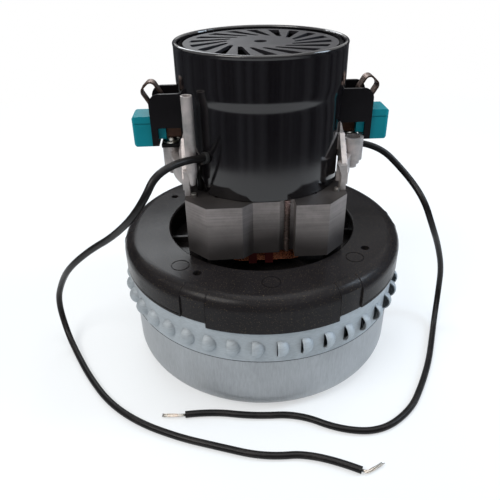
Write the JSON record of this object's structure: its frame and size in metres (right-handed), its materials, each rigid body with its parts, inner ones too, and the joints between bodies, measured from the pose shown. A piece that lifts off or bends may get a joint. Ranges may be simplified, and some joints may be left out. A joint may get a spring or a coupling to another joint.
{
  "type": "vacuum motor unit",
  "caption": "Two-stage bypass vacuum motor with a louvred aluminium fan case, a black shroud, open brush gear and two free leads.",
  "frame": {"origin": "middle of the flat intake face, on the shaft's axis", "axes": "+Z along the shaft from the intake to the cover grille; X runs through the two brushes; the left lead leaves at -X, -Y"},
  "size_m": [0.2252, 0.1831, 0.1604],
  "materials": {
    "shell_aluminium": "brushed",
    "cover_aluminium": "matte",
    "bracket_black": "satin",
    "lamination_steel": "matte, laminated",
    "weld_steel": "as welded",
    "fibre_liner": "matte",
    "copper_wire": "enamelled",
    "tie_red": "satin",
    "stud_steel": "zinc plated",
    "shaft_steel": "ground",
    "bearing_steel": "polished",
    "commutator_copper": "turned",
    "commutator_resin": "matte",
    "bracket_casting": "as cast",
    "screw_zinc": "zinc plated",
    "shroud_black": "gloss",
    "grille_grey": "satin",
    "fan_grey": "satin",
    "carbon": "matte",
    "tube_brass": "drawn",
    "spring_steel": "drawn",
    "block_teal": "satin",
    "housing_black": "satin",
    "strap_steel": "tinned",
    "wheel_aluminium": "bright",
    "spacer_steel": "turned",
    "lead_black": "satin",
    "grommet_black": "matte",
    "strand_tin": "tinned"
  },
  "bodies": {
    "motor_body": {"lower_case_shell": "shell_aluminium", "louvre_cover": "cover_aluminium", "fan_end_bracket": "bracket_black", "lower_bearing_outer_ring": "bearing_steel", "upper_bearing_outer_ring": "bearing_steel", "stator_core": "lamination_steel", "stack_welds": "weld_steel", "slot_liners": "fibre_liner", "field_coil_front": "copper_wire", "field_coil_back": "copper_wire", "coil_ties": "tie_red", "stator_studs": "stud_steel", "commutator_end_bracket": "bracket_casting", "housing_screws": "screw_zinc", "shroud": "shroud_black", "cover_grille": "grille_grey", "stage_diffuser": "wheel_aluminium", "inner_lead_left": "lead_black", "inner_lead_right": "lead_black", "brush_tube_left": "tube_brass", "brush_spring_left": "spring_steel", "brush_block_left": "block_teal", "brush_housing_left": "housing_black", "terminal_strap_left": "strap_steel", "lead_grommet_left": "grommet_black", "lead_left": "lead_black", "lead_end_left": "strand_tin", "brush_tube_right": "tube_brass", "brush_spring_right": "spring_steel", "brush_block_right": "block_teal", "brush_housing_right": "housing_black", "terminal_strap_right": "strap_steel", "lead_grommet_right": "grommet_black", "lead_right": "lead_black", "lead_end_right": "strand_tin"},
    "rotor": {"shaft": "shaft_steel", "armature_core": "lamination_steel", "armature_winding": "copper_wire", "commutator_bars": "commutator_copper", "commutator_hub": "commutator_resin", "cooling_fan": "fan_grey", "first_stage_impeller": "wheel_aluminium", "second_stage_impeller": "wheel_aluminium", "shaft_spacers": "spacer_steel", "clamp_washer": "stud_steel", "shaft_nut": "stud_steel", "lower_bearing_inner_ring": "bearing_steel", "upper_bearing_inner_ring": "bearing_steel"},
    "lower_balls": {"lower_bearing_balls": "bearing_steel"},
    "upper_balls": {"upper_bearing_balls": "bearing_steel"},
    "left_brush": {"carbon_brush_left": "carbon"},
    "right_brush": {"carbon_brush_right": "carbon"}
  },
  "joints": [
    {"name": "rotor_spin", "type": "hinge", "parent": "motor_body", "child": "rotor", "pos_m": [0, 0, 0.06], "axis": [0, 0, 1], "continuous": true},
    {"name": "lower_balls_spin", "type": "hinge", "parent": "motor_body", "child": "lower_balls", "pos_m": [0, 0, 0.0619], "axis": [0, 0, 1], "continuous": true},
    {"name": "upper_balls_spin", "type": "hinge", "parent": "motor_body", "child": "upper_balls", "pos_m": [0, 0, 0.1379], "axis": [0, 0, 1], "continuous": true},
    {"name": "left_brush_slide", "type": "slide", "parent": "motor_body", "child": "left_brush", "axis": [-1, 0, 0], "range_m": [0, 0.003], "stiffness_N_per_m": 150, "springref_m": -0.01, "deforming": ["brush_spring_left"]},
    {"name": "right_brush_slide", "type": "slide", "parent": "motor_body", "child": "right_brush", "axis": [1, 0, 0], "range_m": [0, 0.003], "stiffness_N_per_m": 150, "springref_m": -0.01, "deforming": ["brush_spring_right"]}
  ],
  "couplings": [
    {"joint": "lower_balls_spin", "follows": "rotor_spin", "ratio": 0.3933},
    {"joint": "upper_balls_spin", "follows": "rotor_spin", "ratio": 0.3933}
  ]
}
